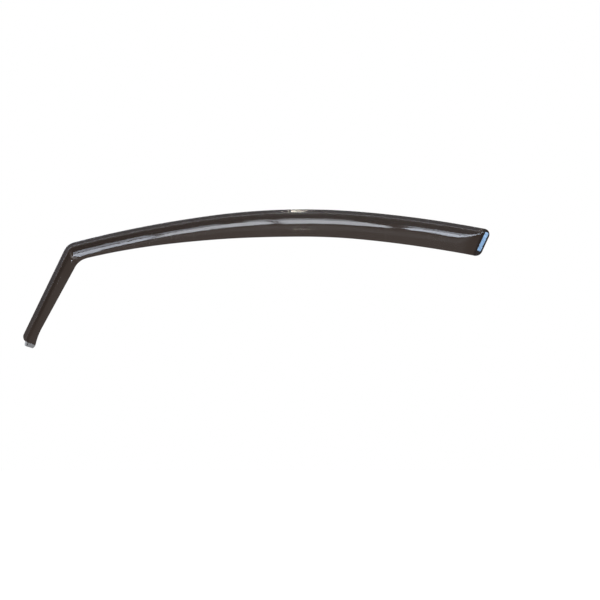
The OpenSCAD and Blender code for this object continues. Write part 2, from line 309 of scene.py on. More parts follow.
class Outline:
    """The outer and inner edge of the moulding, from the tongue to the rear end."""

    def __init__(self, arch, leg, section, strip):
        self.arch, self.leg, self.section = arch, leg, section
        self.front = -(arch.crown_front + arch.front_length)
        self.rear = arch.crown_rear + arch.rear_length
        self.front_heading = arch.crown_front / arch.crown_radius
        self.rear_heading = -arch.crown_rear / arch.crown_radius
        self.front_end = arc(arch.crown_radius, 0, self.front_heading)
        self.rear_end = arc(arch.crown_radius, 0, self.rear_heading)
        self.corner_from = self.heading(self.front)
        self.corner_to = math.pi / 2 - leg.slant
        self.corner_start = self.outer(self.front)
        self.leg_start = self.corner(self.corner_to)
        self.foot_end = leg.length + leg.foot_radius * math.sin(leg.foot_turn)
        self.corner_low = self.leg_inner(leg.corner_reach)
        self.corner_high = self.inner(self.front + leg.corner_reach)
        # A hair further on along both sides tells in which direction they meet
        hair = leg.tongue_gap
        self.corner_point = meet(
            self.corner_low,
            self.corner_low - self.leg_inner(leg.corner_reach + hair),
            self.corner_high,
            self.inner(self.front + leg.corner_reach + hair) - self.corner_high,
        )
        leg_crown = self.leg_point(0, self.knee_depth(leg.top_step))
        arch_crown = self.crown(self.front, leg.corner_step)
        arch_way = forward(self.corner_from)
        self.knee_point = meet(leg_crown, forward(self.corner_to), arch_crown, arch_way)
        self.knee_low = self.knee_point - leg.knee_reach * forward(self.corner_to)
        self.knee_high = self.knee_point + leg.knee_reach * arch_way
        self.knee_leg_s = (leg_crown - self.knee_low).dot(forward(self.corner_to))
        self.knee_arch_s = (self.knee_high - arch_crown).dot(arch_way)
        self.end_heading = self.heading(self.rear)
        self.top_turn = math.pi / 2 + arch.slant + self.end_heading
        self.bottom_turn = math.pi - self.top_turn
        self.rear_inner = (
            self.rear
            + arch.top_radius * math.tan(self.top_turn / 2)
            + arch.rear_height / math.tan(self.top_turn)
            - arch.bottom_radius * math.tan(self.bottom_turn / 2)
        )
        high, low = self.rear_top(1), self.rear_bottom(1)
        way = (high - low).normalized()
        self.tape_centre = (
            (high + low) / 2
            + (strip.inset + strip.width / 2) * Vector((-way.y, way.x))
            + strip.raised * way
        )
        x, y = self.tape_centre
        self.rise = Vector((x / section.window_length, y / section.window_height))

    def stretch(self, s):
        """Start, heading and radius of the arc at s, and the distance along it."""
        arch = self.arch
        ahead, behind = s + arch.crown_front, s - arch.crown_rear
        if ahead < 0:
            return self.front_end, self.front_heading, arch.front_radius, ahead
        if behind > 0:
            return self.rear_end, self.rear_heading, arch.rear_radius, behind
        return Vector((0, 0)), 0, arch.crown_radius, s

    def heading(self, s):
        """Heading of the outer edge at a distance s behind the top of the arch."""
        _, heading, radius, distance = self.stretch(s)
        return heading - distance / radius

    def outer(self, s):
        """Point of the outer edge there."""
        start, heading, radius, _ = self.stretch(s)
        return start + arc(radius, heading, self.heading(s))

    def height(self, s):
        arch = self.arch
        if s < 0:
            return mix(arch.front_height, arch.crown_height, ease(1 - s / self.front))
        return mix(arch.crown_height, arch.rear_height, ease(s / self.rear))

    def inner(self, s):
        return self.outer(s) + self.height(s) * inward(self.heading(s))

    def knee_depth(self, size):
        """Distance of the crown's end from the outer edge."""
        section = self.section
        steep = section.step_angle
        run = (
            section.fillet * math.sin(steep)
            + section.slope * math.cos(steep)
            + section.crown * (math.sin(steep) - math.sin(section.lean))
        )
        return step_start(section) + size * run

    def crown(self, s, size):
        """End of the crown at s, for a step of the given size."""
        return self.outer(s) + self.knee_depth(size) * inward(self.heading(s))

    def corner(self, h):
        """Point of the corner between leg and arch, where its heading is h."""
        return self.corner_start + arc(self.leg.corner_radius, self.corner_from, h)

    def leg_point(self, s, v):
        """Point at a distance s down the leg and v in from its outer edge."""
        return self.leg_start - s * forward(self.corner_to) + v * inward(self.corner_to)

    def leg_width(self, s):
        """Width of the leg at a distance s down it."""
        leg = self.leg
        taper = (s - leg.corner_reach) / (self.foot_end - leg.corner_reach)
        flare = max(0, s + leg.flare_length - self.foot_end) / leg.flare_length
        return mix(leg.top_width, leg.foot_width, taper) + leg.flare * flare**2

    def leg_inner(self, s):
        return self.leg_point(s, self.leg_width(s))

    def inner_corner(self, t):
        """Point of the inner edge's rounded corner."""
        return curve(self.corner_low, self.corner_point, self.corner_high, t)

    def rear_top(self, t):
        """Point of the rear end's upper corner."""
        start = self.end_heading
        return self.outer(self.rear) + arc(self.arch.top_radius, start, start - self.top_turn * t)

    def rear_bottom(self, t):
        """Point of the rear end's lower corner, which turns the other way."""
        start = self.end_heading
        turned = arc(self.arch.bottom_radius, start, start + self.bottom_turn * t)
        return self.inner(self.rear_inner) - turned

    def window(self, p):
        """Stand-off of the curved window at a plan point."""
        section = self.section
        return p.x**2 / (2 * section.window_length) + p.y**2 / (2 * section.window_height)

    def pad(self, p):
        """Stand-off of the flat pad, which touches the window's curve at the tape."""
        return self.window(self.tape_centre) + self.rise.dot(p - self.tape_centre)

    def ribs(self, density):
        """Ribs from the tongue's tip to the rear end, density of them per 100 mm."""
        yield from self.tongue_ribs()
        yield from self.foot_ribs()
        yield from self.leg_ribs(density)
        yield from self.corner_ribs()
        yield from self.arch_ribs(density)
        yield from self.rear_ribs()

    def tongue_ribs(self):
        """Ribs of the thin tongue, whose end is round."""
        leg = self.leg
        skin = (self.section.wall - leg.tongue_thickness) / 2
        inner_end = self.foot_end - leg.foot_skew
        foot_in = leg.foot_radius * (1 - math.cos(leg.foot_turn))
        for t in steps(TONGUE_RIBS):
            corner_in = leg.tongue_corner * (1 - math.sin(math.pi / 2 * t))
            out = leg.tongue_length * math.cos(math.pi / 2 * t) + leg.tongue_gap
            width = self.leg_width(inner_end) - corner_in
            come_in = foot_in + leg.tongue_set_in + corner_in
            yield self.foot_rib(self.foot_end + out, inner_end + out, come_in, width, skin)

    def foot_ribs(self):
        """Ribs of the foot's outer corner."""
        leg = self.leg
        for t in steps(FOOT_RIBS, last=False):
            turn = leg.foot_turn * (1 - t)
            s = leg.length + leg.foot_radius * math.sin(turn)
            inner_s = s - leg.foot_skew
            come_in = leg.foot_radius * (1 - math.cos(turn))
            yield self.foot_rib(s, inner_s, come_in, self.leg_width(inner_s))

    def foot_rib(self, outer_s, inner_s, come_in, width, thin=0.0):
        """A rib of the foot or the tongue."""
        leg = self.leg
        depth = self.knee_depth(leg.step)
        return self.straight_rib(
            self.leg_point(outer_s, come_in),
            self.leg_point(inner_s, width),
            (depth - come_in) / (width - come_in),
            leg.step,
            leg.foot_step,
            width - depth,
            thin=thin,
            come_in=come_in,
        )

    def leg_ribs(self, density):
        """Ribs of the leg, from the foot up to the corner."""
        leg = self.leg
        low_s = leg.length - leg.foot_skew
        knee_share = self.knee_depth(leg.step) / self.leg_width(low_s)
        low_knee_s = leg.length - leg.foot_skew * knee_share
        for t in steps(rib_count(leg.length, density), last=False):
            size = mix(leg.step, leg.top_step, ease(leg.growth * (t - 1) + 1))
            depth = self.knee_depth(size)
            inner_s = mix(low_s, leg.corner_reach, t)
            yield Rib(
                self.leg_point(leg.length * (1 - t), 0),
                self.leg_point(mix(low_knee_s, self.knee_leg_s, t), depth),
                self.leg_inner(inner_s),
                size,
                mix(leg.foot_step, size, ease(FOOT_RISE * t)),
                self.leg_width(inner_s) - depth,
            )

    def corner_ribs(self):
        """Ribs of the corner between leg and arch, which fan out."""
        leg = self.leg
        leg_face = self.leg_width(leg.corner_reach) - self.knee_depth(leg.top_step)
        arch_face = self.height(self.front + leg.corner_reach) - self.knee_depth(leg.corner_step)
        for t in steps(CORNER_RIBS, last=False):
            size = mix(leg.top_step, leg.corner_step, ease(t))
            yield Rib(
                self.corner(mix(self.corner_to, self.corner_from, t)),
                curve(self.knee_low, self.knee_point, self.knee_high, t),
                self.inner_corner(t),
                size,
                size,
                mix(leg_face, arch_face, t),
            )

    def arch_ribs(self, density):
        """Ribs of the arch, up to the rear end's corners."""
        arch = self.arch
        marks = [self.front, -arch.crown_front, 0, arch.crown_rear, self.rear - arch.closing]
        counts = [rib_count(b - a, density) for a, b in zip(marks, marks[1:])] + [CLOSING_RIBS]
        for a, b, count in zip(marks, [*marks[1:], self.rear], counts):
            for t in steps(count, last=False):
                yield self.arch_rib(mix(a, b, t))

    def rear_ribs(self):
        """Ribs of the rear end, between its two corners."""
        size = self.arch.pad_size
        depth = self.knee_depth(size)
        for t in steps(REAR_RIBS):
            high, low = self.rear_top(t), self.rear_bottom(t)
            width = (low - high).length
            yield self.straight_rib(high, low, depth / width, size, 0, width - depth, flat=1)

    @staticmethod
    def straight_rib(outer, inner, knee_share, *rest, **options):
        """A rib that runs straight, with its knee at a share of its length."""
        return Rib(outer, outer.lerp(inner, knee_share), inner, *rest, **options)

    def arch_rib(self, s):
        """The rib at a distance s behind the top of the arch."""
        arch, leg = self.arch, self.leg
        t = (s - self.front) / (self.rear - self.front)
        closed = max(0, s - self.rear + arch.closing) / arch.closing
        closing = closed**2
        size = mix(leg.corner_step, 1, ease((s - self.front) / leg.size_run))
        across = size * mix(1, arch.pad_size, closing)
        inner_s = mix(self.front + leg.corner_reach, self.rear_inner, t)
        depth = self.knee_depth(across)
        lean = (inner_s - s) * depth / self.height(inner_s)
        knee_s = s + mix(self.knee_arch_s, lean, ease((s - self.front) / leg.knee_run))
        return Rib(
            self.outer(s),
            self.crown(knee_s, across),
            self.inner(inner_s),
            across,
            size * (1 - closing),
            self.height(inner_s) - depth,
            flat=closing,
            fall=size * 2 * closed / arch.closing,
        )


class Section:
    """The moulding's outer face across one rib, as distance in, stand-off and angle."""

    # Number of stretches across each part of the face
    EDGE = 5
    RUN = 9
    FILLET = 8
    SLOPE = 2
    CROWN = 16
    FACE = 18
    # The recess has run out a little before the fillet starts
    RUN_OUT = 1.02

    def __init__(self, sizes):
        self.sizes = sizes
        steep, lean = sizes.step_angle, sizes.lean
        points = []
        for t in steps(self.FILLET):
            a = steep * t
            points.append((sizes.fillet * math.sin(a), sizes.fillet * (1 - math.cos(a)), a))
        # The last point of the fillet and of the slope is the first one of what follows
        u, w, _ = points.pop()
        for t in steps(self.SLOPE):
            run = sizes.slope * t
            points.append((u + run * math.cos(steep), w + run * math.sin(steep), steep))
        u, w, _ = points.pop()
        for t in steps(self.CROWN):
            a = mix(steep, lean, t)
            across = sizes.crown * (math.sin(steep) - math.sin(a))
            away = sizes.crown * (math.cos(a) - math.cos(steep))
            points.append((u + across, w + away, a))
        self.step = points

    def face(self, rib):
        """Points of the face across a rib."""
        sizes = self.sizes
        end_u, end_w, _ = self.step[-1]
        full_start = step_start(sizes)
        squeeze = 1 - rib.come_in / (full_start + rib.size * end_u)
        size = rib.size * squeeze
        recess = sizes.edge_recess * rib.recess
        start = full_start * squeeze
        run = sizes.recess_run * squeeze
        points = [((start - run) * t, -recess, 0) for t in steps(self.EDGE, last=False)]
        for t in steps(self.RUN, last=False):
            left = 1 - ease(t * self.RUN_OUT)
            points.append((start - run * (1 - t), -recess * left, 0))
        for u, w, a in self.step:
            tilt = math.atan(math.tan(a) * rib.lift / size)
            points.append((start + size * u, rib.lift * w, tilt))
        lift = min(1, rib.lift)
        lean, turn_in = sizes.lean, sizes.turn_in
        radius = rib.face / (math.sin(lean) + math.sin(turn_in))
        for t in steps(self.FACE)[1:]:
            a = mix(lean, -turn_in, t)
            u = start + size * end_u + radius * (math.sin(lean) - math.sin(a))
            w = rib.lift * end_w + radius * (math.cos(a) - math.cos(lean)) * lift
            points.append((u, w, a * lift))
        return points

    def knee_u(self, rib):
        """Distance of the knee from the rib's outer point."""
        end_u = self.step[-1][0]
        return step_start(self.sizes) + rib.size * end_u - rib.come_in

    def skin(self, rib, outer):
        """Points of the outer or the inner face across a rib."""
        points = []
        flange = self.EDGE + self.RUN
        for number, (u, w, a) in enumerate(self.face(rib)):
            # Where the step falls along the moulding, the wall is cut at a slant
            on_step = min(max(number - flange, 0), len(self.step) - 1)
            slant = math.hypot(1, rib.fall * self.step[on_step][1])
            depth = rib.thin if outer else (self.sizes.wall - rib.thin) * slant
            base = 0 if w < 0 and not outer else w
            points.append((u + depth * math.sin(a), base - depth * math.cos(a)))
        return points


# Mesh helpers


def add_object(name, data):
    """Puts an object with the given data into the scene."""
    made = bpy.data.objects.new(name, data)
    bpy.context.scene.collection.objects.link(made)
    return made


def add_mesh(bm, name, material):
    """Turns a bmesh into an object of one material."""
    mesh = bpy.data.meshes.new(name)
    bm.to_mesh(mesh)
    bm.free()
    mesh.materials.append(material)
    return add_object(name, mesh)


def finish_piece(bm, name, material, replaced):
    """Turns a bmesh into a finished piece that stands for a CAD node."""
    piece = add_mesh(bm, name, material)
    for face in piece.data.polygons:
        face.use_smooth = True
    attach(piece, "root")
    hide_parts(replaced)


def strip_frame(outline, stand_off):
    """Place of a flat strip on the pad: its own Z looks away from the pad."""
    centre, rise = outline.tape_centre, outline.rise
    tilt = math.asin(-rise.y / math.sqrt(rise.x**2 + 1 + rise.y**2))
    return (
        Matrix.Translation((centre.x, outline.window(centre), centre.y))
        @ Matrix.Rotation(math.atan(rise.x), 4, "Z")
        @ Matrix.Rotation(tilt, 4, "X")
        @ Matrix.Rotation(math.pi / 2, 4, "X")
        @ Matrix.Rotation(-outline.arch.slant, 4, "Z")
        @ Matrix.Translation((0, 0, stand_off))
    )


def bevel(bm, geom, affect, offset, segments, clamp=False):
    """Rounds points or edges."""
    bmesh.ops.bevel(
        bm,
        geom=geom,
        offset=offset,
        offset_type="OFFSET",
        affect=affect,
        segments=segments,
        profile=0.5,
        clamp_overlap=clamp,
        material=-1,
    )


def rounded_sheet(strip):
    """The strip's flat rectangle with rounded corners, in the XY plane."""
    bm = bmesh.new()
    bmesh.ops.create_grid(bm, x_segments=1, y_segments=1, size=0.5)
    bmesh.ops.scale(bm, vec=(strip.width, strip.length, 1), verts=bm.verts[:])
    bevel(bm, bm.verts[:], "VERTICES", offset=strip.corner, segments=8)
    return bm


def raise_faces(bm, faces, height):
    """Extrudes faces along Z and returns the raised faces and their points."""
    raised = bmesh.ops.extrude_face_region(bm, geom=faces)["geom"]
    verts = [item for item in raised if isinstance(item, bmesh.types.BMVert)]
    bmesh.ops.translate(bm, vec=(0, 0, height), verts=verts)
    return [item for item in raised if isinstance(item, bmesh.types.BMFace)], verts


# Materials

# Attributes that mark the insertion edge, the groove at the foot of the step, the tape's pad
# and the thin tongue
ZONES = ("insertion_edge", "step_groove", "tape_pad", "thin_tongue")
# Where the pad's darker tint starts, as a share of the way from the curved face to the flat pad
PAD_FROM = 0.75

# Tints of the acrylic, whose smoke comes on top of them. The tongue's cool tint is painted
# reflection
CLEAR_LOW, CLEAR_HIGH = (0.93, 0.91, 0.90, 1), (1.0, 0.99, 0.98, 1)
EDGE_TINT = (0.38, 0.39, 0.43, 1)
# The flat pad is tinted darker than the rest of the acrylic
PAD_TINT = (0.42, 0.42, 0.45, 1)
# Painted reflection: the thin tongue is tinted cool like the cool lamps mirrored on it, over the
# acrylic's colour
TONGUE_PAINTED_REFLECTION = (0.80, 0.90, 1.0, 1)
ACRYLIC_IOR, COAT_IOR = 1.49, 1.5
# Roughness that the mould leaves on the insertion edge and in the groove
EDGE_DULL, GROOVE_DULL = 0.12, 0.4

# Heights of the fine relief, in metres
RIPPLE = 0.00025
HAIRLINE = 0.0000015
PORE = 0.00008
DRAW_LINE = 0.000012
# Angles at which the fine lines run on the acrylic and on the liner
HAIRLINE_TURN, DRAW_TURN = 0.35, -0.436


class Nodes:
    """A node tree under construction."""

    def __init__(self, tree):
        self.tree = tree
        tree.nodes.clear()

    def plug(self, socket, value):
        """Gives a socket a value or links another node's output to it."""
        if isinstance(value, bpy.types.NodeSocket):
            self.tree.links.new(value, socket)
        else:
            socket.default_value = value

    def node(self, kind, inputs=None, **options):
        """Adds a node, whose inputs are given by name or number."""
        node = self.tree.nodes.new(kind)
        for key, value in options.items():
            setattr(node, key, value)
        for key, value in (inputs or {}).items():
            self.plug(node.inputs[key], value)
        return node

    def ramp(self, value, low, high, to_low=0, to_high=1, **options):
        """Maps the range from low to high onto another one."""
        source = {"Value": value, "From Min": low, "From Max": high}
        inputs = {**source, "To Min": to_low, "To Max": to_high}
        return self.node("ShaderNodeMapRange", inputs, **options).outputs["Result"]

    def math(self, operation, a, b):
        return self.node("ShaderNodeMath", {0: a, 1: b}, operation=operation).outputs["Value"]

    def seen(self):
        """1 for rays from the camera, also where they come through the acrylic."""
        rays = self.node("ShaderNodeLightPath").outputs
        return self.math("MAXIMUM", rays["Is Camera Ray"], rays["Is Transmission Ray"])


class Finish(Nodes):
    """A material under construction."""

    def __init__(self, name):
        self.material = bpy.data.materials.new(name)
        self.material.use_nodes = True
        super().__init__(self.material.node_tree)
        self.output = self.node("ShaderNodeOutputMaterial")
        self.shader = self.node("ShaderNodeBsdfPrincipled")
        self.plug(self.output.inputs["Surface"], self.shader.outputs["BSDF"])
        self.place = self.node("ShaderNodeTexCoord").outputs["Object"]

    def mapped(self, turn, stretch):
        """Object coordinates, turned about Y and stretched."""
        inputs = {"Vector": self.place, "Rotation": (0, turn, 0), "Scale": stretch}
        return self.node("ShaderNodeMapping", inputs).outputs["Vector"]

    def noise(self, scale, detail, roughness=0.55, vector=None):
        place = vector or self.place
        inputs = {"Vector": place, "Scale": scale, "Detail": detail, "Roughness": roughness}
        return self.node("ShaderNodeTexNoise", inputs).outputs["Fac"]

    def blend(self, factor, a, b):
        """Colour between a and b."""
        inputs = {0: factor, 6: a, 7: b}
        return self.node("ShaderNodeMix", inputs, data_type="RGBA", blend_type="MIX").outputs[2]

    def mottled(self, base, dark, pale, scale, detail):
        """Patches of a darker and of a paler shade of a colour."""
        patches = self.ramp(self.noise(scale, detail), 0.35, 0.65)
        return self.blend(patches, shaded(base, dark), shaded(base, pale))

    def bump(self, height, distance, **more):
        inputs = {"Height": height, "Distance": distance, **more}
        return self.node("ShaderNodeBump", inputs).outputs["Normal"]

    def set(self, **values):
        """Sets sockets of the shader, with underscores for the spaces in their names."""
        for key, value in values.items():
            self.plug(self.shader.inputs[key.replace("_", " ")], value)


def shaded(base, factor):
    """A colour made darker or paler, with an alpha of 1."""
    return (*[min(1, part * factor) for part in base], 1)


def smoked_acrylic(finishes, wall):
    """Tinted acrylic: the smoke is in its depth, so that thin places show paler."""
    finish = Finish("smoked_acrylic")
    edge, groove, pad, tongue = (
        finish.node("ShaderNodeAttribute", attribute_name=name).outputs["Fac"] for name in ZONES
    )
    clouds = finish.noise(scale=26.0, detail=3.0)
    along = finish.mapped(turn=HAIRLINE_TURN, stretch=(0.06, 1, 1))
    hairlines = finish.noise(scale=420.0, detail=2.0, roughness=0.5, vector=along)
    smears = finish.noise(scale=70.0, detail=5.0, roughness=0.6)
    tint = finish.blend(finish.ramp(clouds, 0.3, 0.7), CLEAR_LOW, CLEAR_HIGH)
    # Each zone's tint; on the tongue this is a painted reflection of the cool lamps
    for zone, own in ((edge, EDGE_TINT), (pad, PAD_TINT), (tongue, TONGUE_PAINTED_REFLECTION)):
        tint = finish.blend(zone, tint, own)
    rough = finish.math(
        "ADD",
        finish.ramp(smears, 0.4, 0.75, finishes.polish * 0.6, finishes.polish * 1.9),
        finish.ramp(hairlines, 0.62, 0.75, 0, 0.015),
    )
    for zone, dull in ((edge, EDGE_DULL), (groove, GROOVE_DULL)):
        rough = finish.math("ADD", rough, finish.math("MULTIPLY", zone, dull))
    ripple = finish.bump(finish.noise(scale=9.0, detail=1.0, roughness=0.4), RIPPLE)
    finish.set(
        Base_Color=tint,
        Roughness=rough,
        IOR=ACRYLIC_IOR,
        Transmission_Weight=1.0,
        Coat_Weight=finish.ramp(groove, 0, 1, 1, 0),
        Coat_Roughness=0.05,
        Coat_IOR=COAT_IOR,
        Normal=finish.bump(hairlines, HAIRLINE, Normal=ripple),
    )
    depth = [-math.log(part) / wall for part in finishes.smoke]
    density = max(depth)
    volume = finish.node(
        "ShaderNodeVolumeAbsorption",
        {"Color": [1 - part / density for part in depth] + [1], "Density": density},
    )
    finish.plug(finish.output.inputs["Volume"], volume.outputs["Volume"])
    return finish.material


def foam_rubber(finishes):
    """Closed-cell foam: fine pores on the cut sides."""
    finish = Finish("foam")
    inputs = {"Vector": finish.place, "Scale": 3200.0}
    pores = finish.node("ShaderNodeTexVoronoi", inputs, feature="F1").outputs["Distance"]
    finish.set(
        Base_Color=finish.mottled(finishes.foam, 0.6, 1.5, scale=900.0, detail=4.0),
        Roughness=finish.ramp(pores, 0, 0.6, 0.75, 0.95),
        Specular_IOR_Level=0.3,
        Normal=finish.bump(pores, PORE),
    )
    return finish.material


def liner_film(finishes):
    """Release film: satin, with the fine draw lines of the film along the strip."""
    finish = Finish("liner_film")
    along = finish.mapped(turn=DRAW_TURN, stretch=(1, 1, 0.03))
    lines = finish.noise(scale=1500.0, detail=3.0, roughness=0.6, vector=along)
    finish.set(
        Base_Color=finish.mottled(finishes.liner, 0.93, 1.06, scale=140.0, detail=3.0),
        Roughness=finish.ramp(lines, 0.3, 0.7, 0.34, 0.46),
        Specular_IOR_Level=0.45,
        Normal=finish.bump(lines, DRAW_LINE),
    )
    return finish.material


# Operators for the pieces

# Height and pinch of the foam's three layers: the cut sides come in a little at the middle
PINCH = 0.00012
FOAM_LAYERS = ((0.3, PINCH), (0.4, 0.0), (0.3, -PINCH))
# Rounding of the liner's rim, as a share of its thickness
LINER_ROUNDING = 0.35


def outline_of(scene):
    sizes = scene.deflector
    return Outline(sizes.arch, sizes.leg, sizes.section, sizes.strip)


class DEFLECTOR_OT_moulding(bpy.types.Operator):
    """Build the smoked acrylic moulding"""

    bl_idname = "deflector.moulding"
    bl_label = "Smoked acrylic moulding"
    bl_options = {"REGISTER", "UNDO"}

    def execute(self, context):
        sizes = context.scene.deflector
        outline = outline_of(context.scene)
        section = Section(sizes.section)
        ribs = list(outline.ribs(sizes.finishes.samples))
        bm = bmesh.new()
        zones = [bm.verts.layers.float.new(name) for name in ZONES]
        for outer in (True, False):
            self.make_skin(bm, outline, section, ribs, outer, zones)
        self.close_rims(bm, sizes.section.rim)
        # The finer skins bulge a few hundredths of a millimetre past the CAD facets
        for vert in bm.verts:
            vert.co = [min(max(c, low), high) for c, low, high in zip(vert.co, *CAD_BOX)]
        if any(not e.is_manifold for e in bm.edges):
            raise RuntimeError("the moulding's skins don't close")
        material = smoked_acrylic(sizes.finishes, sizes.section.wall)
        finish_piece(bm, "acrylic_moulding", material, "deflector_shell")
        return {"FINISHED"}

    def make_skin(self, bm, outline, section, ribs, outer, zones):
        """The outer or the inner face, as a grid of ribs and of points across them."""
        skins = [section.skin(rib, outer) for rib in ribs]
        along, across = len(ribs) - 1, len(skins[0]) - 1
        made = bmesh.ops.create_grid(bm, x_segments=along, y_segments=across, size=0.5)["verts"]
        for vert in made:
            i = round((vert.co.x + 0.5) * along)
            j = round((vert.co.y + 0.5) * across)
            rib = ribs[i]
            u, w = skins[i][j]
            p = rib.plan(u, section.knee_u(rib))
            base = mix(outline.window(p), outline.pad(p), rib.flat)
            vert.co = (p.x, base - w, p.y)
            for zone, amount in zip(zones, self.zone_amounts(rib, j)):
                vert[zone] = amount

    @staticmethod
    def zone_amounts(rib, j):
        """How far a point belongs to each of the zones."""
        on_edge = 1 - ease((j - Section.EDGE) / Section.RUN)
        groove_end = Section.EDGE + Section.RUN + Section.FILLET - 1
        return (
            on_edge * rib.recess if rib.thin == 0 else 0,
            rib.recess if Section.EDGE <= j < groove_end else 0,
            ease((rib.flat - PAD_FROM) / (1 - PAD_FROM)),
            0 if rib.thin == 0 else 1,
        )

    @staticmethod
    def close_rims(bm, rounding):
        """Joins both faces along their rims and rounds the corners."""
        rims = [e for e in bm.edges if e.is_boundary]
        walls = set(bmesh.ops.bridge_loops(bm, edges=rims)["faces"])
        bmesh.ops.recalc_face_normals(bm, faces=bm.faces[:])
        corners = [e for e in bm.edges if len(walls.intersection(e.link_faces)) == 1]
        bevel(bm, corners, "EDGES", offset=rounding, segments=3, clamp=True)


class DEFLECTOR_OT_tape(bpy.types.Operator):
    """Build the foam tape on the rear pad"""

    bl_idname = "deflector.tape"
    bl_label = "Foam tape"
    bl_options = {"REGISTER", "UNDO"}

    def execute(self, context):
        sizes = context.scene.deflector
        strip = sizes.strip
        bm = rounded_sheet(strip)
        top = bm.faces[:]
        for part, pinch in FOAM_LAYERS:
            top, verts = raise_faces(bm, top, strip.thickness * part)
            shrink = (1 - 2 * pinch / strip.width, 1 - 2 * pinch / strip.length, 1)
            bmesh.ops.scale(bm, vec=shrink, verts=verts)
        bmesh.ops.recalc_face_normals(bm, faces=bm.faces[:])
        bm.transform(strip_frame(outline_of(context.scene), 0))
        finish_piece(bm, "tape_strip", foam_rubber(sizes.finishes), "foam_tape")
        return {"FINISHED"}


class DEFLECTOR_OT_liner(bpy.types.Operator):
    """Build the release film over the tape"""

    bl_idname = "deflector.liner"
    bl_label = "Release film"
    bl_options = {"REGISTER", "UNDO"}

    def execute(self, context):
        sizes = context.scene.deflector
        strip = sizes.strip
        bm = rounded_sheet(strip)
        verts = raise_faces(bm, bm.faces[:], strip.liner)[1]
        bmesh.ops.recalc_face_normals(bm, faces=bm.faces[:])
        rim = [e for e in bm.edges if all(v in verts for v in e.verts)]
        bevel(bm, rim, "EDGES", offset=strip.liner * LINER_ROUNDING, segments=2)
        bm.transform(strip_frame(outline_of(context.scene), strip.thickness))
        finish_piece(bm, "film_strip", liner_film(sizes.finishes), "release_liner")
        return {"FINISHED"}


# Operator for the stage

# Point of the CAD frame at the middle of the picture, as X and Z
VIEW_CENTRE = (-0.00676, -0.17504)
CLIP = (0.1, 100)

# The room that gloss reflects: its tint, its darkest side and the extra light of a band above
# the horizon
ROOM_TINT = (0.94, 0.97, 1)
ROOM_DARK = 0.02
ROOM_BAND = 0.16

# The floor lies mostly behind the part
FLOOR_HALF = 6
FLOOR_BACK = 5.5
FLOOR_GLOW = 0.8

WHITE, COOL, COOLER, WARM = (1, 1, 1), (0.87, 0.92, 1.0), (0.79, 0.87, 1.0), (1, 0.94, 0.81)
# The long lamps hang on a drum about a line along X
DRUM_RADIUS = 1.5
DRUM_Z = -0.05
# Each lamp's start and end along X, its lowest and highest elevation in degrees, its share of
# the lamps' brightness and its tint
LONG_LAMPS = (
    # Ahead of the leg, for the front half's highlight
    (-0.955, -0.86, -2, 2, 1.15, COOLER),
    (-1.0, -0.67, 2, 6, 1.15, COOLER),
    (-1.0, -0.63, 6, 12.5, 1.15, COOLER),
    (-1.0, -0.51, 12.5, 37, 1.15, COOLER),
    # Over the middle, with a gap for the dark notch
    (-0.49, -0.13, 14, 36, 1.1, COOL),
    (-0.10, 0.27, 15, 36, 1.1, COOL),
    # Behind the rear end, with a pointed tip
    (0.84, 1.6, 11.6, 15, 1.4, COOLER),
    (0.44, 1.6, 15, 17, 1.4, COOLER),
    (0.345, 1.6, 17, 21, 1.4, COOLER),
    (0.375, 1.6, 21, 27, 1.4, COOLER),
    (0.395, 1.6, 27, 33, 1.4, COOLER),
    # Higher up, for the dimmer band along the highlight's upper side
    (-1.0, -0.655, 43, 76, 0.55, COOLER),
    (-0.655, -0.57, 43, 66, 0.2, COOLER),
    (-0.57, -0.365, 39, 62, 0.45, COOLER),
    (-0.245, -0.13, 38, 64, 0.5, COOL),
    (-0.10, 0.22, 38, 64, 0.5, COOL),
    (0.43, 1.6, 37, 62, 0.6, COOLER),
)
# The lamps shorter than this are turned a little, so that their ends look slanted
SHORT_LAMP = 0.5
SHORT_LAMP_TURN = math.radians(6)
# Place of each of the other lamps and the point that it faces
GLINT = ((-0.053, -12.5, 0.115), (-0.0125, 0, -0.004))
SIDE = ((2.4, -0.6, 0.9), (-0.05, 0, -0.05))
BACK = ((-1.2, 2.2, 0.9), (-0.05, 0, -0.05))


def soft_lamp(name, place, aim, width, height, brightness, roll=0.0, tint=WHITE):
    """A rectangular soft lamp whose face has the given brightness, where white is 1."""
    lamp = bpy.data.lights.new(name, "AREA")
    lamp.shape = "RECTANGLE"
    lamp.size, lamp.size_y = width, height
    lamp.energy = brightness * math.pi * width * height
    lamp.color = tint
    holder = add_object(name, lamp)
    place, aim = Vector(place), Vector(aim)
    turn = (aim - place).to_track_quat("-Z", "Y").to_matrix().to_4x4()
    holder.matrix_world = Matrix.Translation(place) @ turn @ Matrix.Rotation(roll, 4, "Z")
    holder.visible_camera = False
    holder.visible_transmission = False


